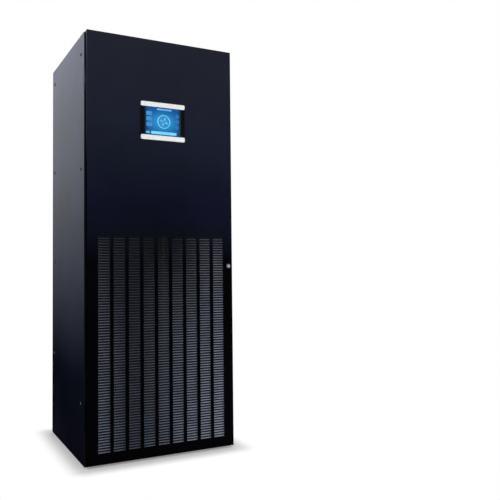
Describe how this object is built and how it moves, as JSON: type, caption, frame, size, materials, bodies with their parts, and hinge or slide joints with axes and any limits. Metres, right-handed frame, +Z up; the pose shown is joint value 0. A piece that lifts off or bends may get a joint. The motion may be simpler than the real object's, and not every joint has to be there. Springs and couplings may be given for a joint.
{
  "type": "computer room air conditioner",
  "caption": "Tall floor-standing cooling cabinet with a hinged louvred front door, a framed display on it and a flanged duct outlet on top.",
  "frame": {"origin": "on the floor, below the centre of the cabinet's plan", "axes": "+Z up, the door faces -Y, +X to the right of someone who faces the door"},
  "size_m": [0.703, 0.671, 1.878],
  "materials": {
    "door_black": "gloss powder coat",
    "cabinet_black": "gloss powder coat",
    "frame_black": "satin powder coat",
    "louvre_black": "satin powder coat",
    "galvanised": "galvanised sheet",
    "zinc_steel": "bright zinc plate",
    "aluminium": "brushed",
    "motor_grey": "satin",
    "filter_media": "dark pleated non-woven pad in a card frame",
    "seal_rubber": "matt",
    "gland_plastic": "fine texture",
    "display_white": "gloss",
    "display_black": "high gloss",
    "housing_plastic": "fine texture",
    "screen_lit": "lit screen behind clear cover",
    "lock_chrome": "polished"
  },
  "bodies": {
    "cabinet": {"base_rail_front": "frame_black", "base_rail_rear": "frame_black", "base_rail_right": "frame_black", "base_rail_left": "frame_black", "floor_pan": "galvanised", "post_front_right": "frame_black", "post_front_left": "frame_black", "post_rear_right": "frame_black", "post_rear_left": "frame_black", "top_rail_front": "frame_black", "top_rail_rear": "frame_black", "top_panel": "cabinet_black", "discharge_collar": "galvanised", "guard_rim": "frame_black", "guard_bars": "frame_black", "side_panel_right": "cabinet_black", "side_panel_left": "cabinet_black", "rear_panel": "cabinet_black", "service_plate": "cabinet_black", "pipe_grommets": "seal_rubber", "cable_gland": "gland_plastic", "fan_deck": "galvanised", "inlet_ring": "galvanised", "fan_impeller": "aluminium", "fan_motor": "motor_grey", "motor_beam": "galvanised", "motor_legs": "galvanised", "filter_rail_bottom": "frame_black", "filter_rail_top": "frame_black", "filter_mullion": "frame_black", "air_filter_right": "filter_media", "air_filter_left": "filter_media", "electrical_cover": "galvanised", "partition": "galvanised", "hinge_fixed_lower": "cabinet_black", "hinge_fixed_upper": "cabinet_black"},
    "door": {"door_skin": "door_black", "door_edge_lock": "door_black", "door_edge_hinge": "door_black", "door_edge_top": "door_black", "door_edge_bottom": "door_black", "door_rail_middle": "frame_black", "louvre_panel": "louvre_black", "door_seal": "seal_rubber", "display_housing": "housing_plastic", "display_bezel": "display_black", "display_screen": "screen_lit", "display_bar_upper": "display_white", "display_bar_lower": "display_white", "hinge_door_lower": "cabinet_black", "hinge_door_upper": "cabinet_black", "lock_housing": "lock_chrome"},
    "lock": {"lock_core": "lock_chrome", "lock_cam": "zinc_steel"}
  },
  "joints": [
    {"name": "door_hinge", "type": "hinge", "parent": "cabinet", "child": "door", "pos_m": [-0.35, -0.297, 0.925], "axis": [0, 0, -1], "range_deg": [0, 120]},
    {"name": "lock_turn", "type": "hinge", "parent": "door", "child": "lock", "pos_m": [0.325, -0.31, 0.838], "axis": [0, 1, 0], "range_deg": [0, 90]}
  ]
}
